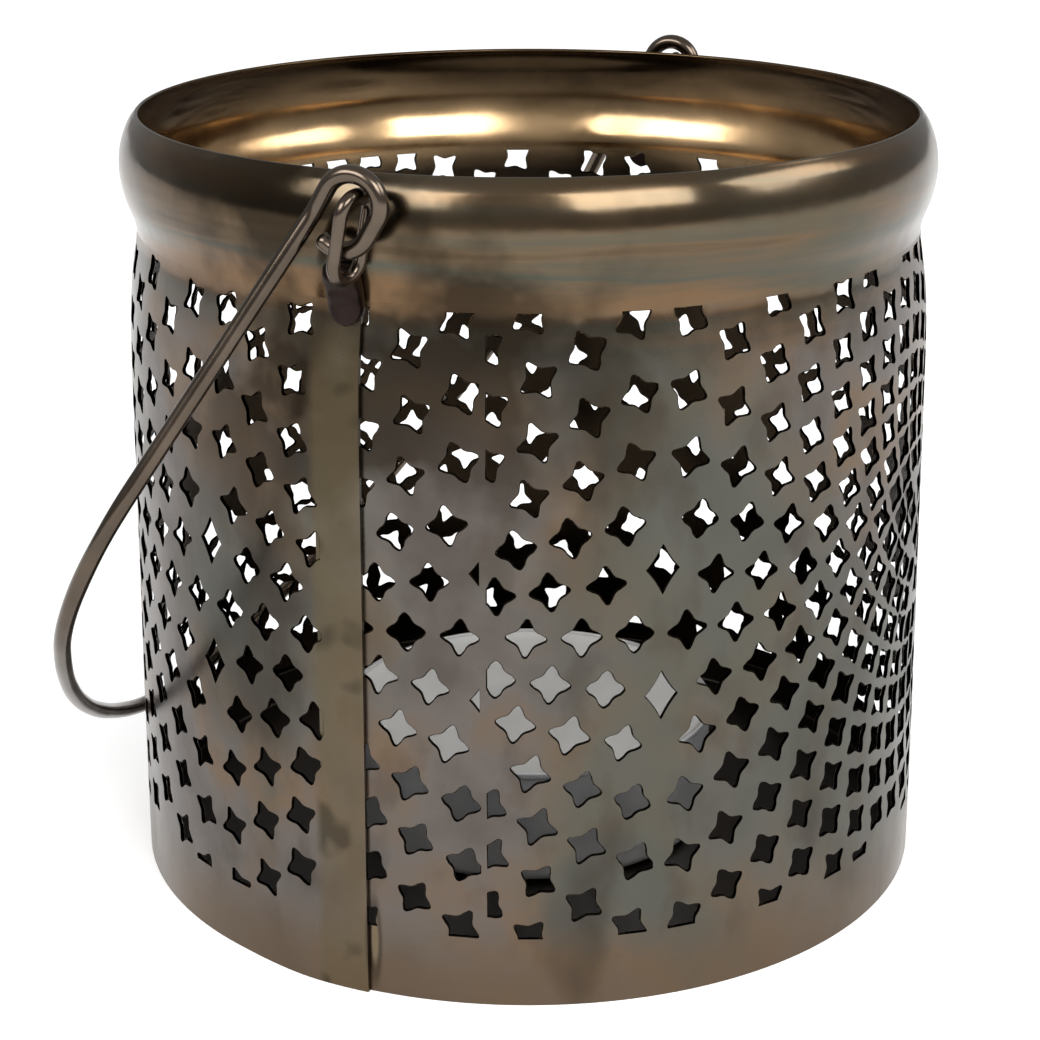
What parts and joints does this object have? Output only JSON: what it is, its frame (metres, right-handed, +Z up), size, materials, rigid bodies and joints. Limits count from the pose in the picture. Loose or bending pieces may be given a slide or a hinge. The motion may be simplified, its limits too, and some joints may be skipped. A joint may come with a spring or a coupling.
{
  "type": "lantern",
  "caption": "Round punched metal candle lantern: perforated lapped wall, rolled rim, base plate, wire bail on two lug rings, tealight inside.",
  "frame": {"origin": "centre of the circle that the foot of the wall stands on, level with the surface it rests on", "axes": "+Z up along the wall's axis, -Y towards the viewer; the lap seam and the front lug lie 21.4 degrees to the left of -Y"},
  "size_m": [0.1269, 0.1467, 0.1168],
  "materials": {
    "bronzed_sheet": "burnished antique bronze, satin",
    "bronzed_collar": "burnished antique bronze, semi-gloss",
    "dark_wire": "dark bronze, satin",
    "cup_metal": "bright drawn foil",
    "wax": "pale wax, soft sheen",
    "wick": "waxed cotton braid"
  },
  "bodies": {
    "lantern": {"wall_sheet": "bronzed_sheet", "collar": "bronzed_collar", "base_plate": "bronzed_sheet", "front_lug_ring": "dark_wire", "front_ear": "dark_wire", "back_lug_ring": "dark_wire", "back_ear": "dark_wire"},
    "bail": {"bail": "dark_wire"},
    "candle": {"candle_cup": "cup_metal", "candle_wax": "wax", "wick": "wick", "wick_foot": "cup_metal"}
  },
  "joints": [
    {"name": "bail_swing", "type": "hinge", "parent": "lantern", "child": "bail", "pos_m": [0.00196, -0.00077, 0.1132], "axis": [0.3649, 0.9311, 0], "range_deg": [0, 297]},
    {"name": "candle_lift", "type": "slide", "parent": "lantern", "child": "candle", "axis": [0, 0, 1], "range_m": [0, 0.12]}
  ]
}
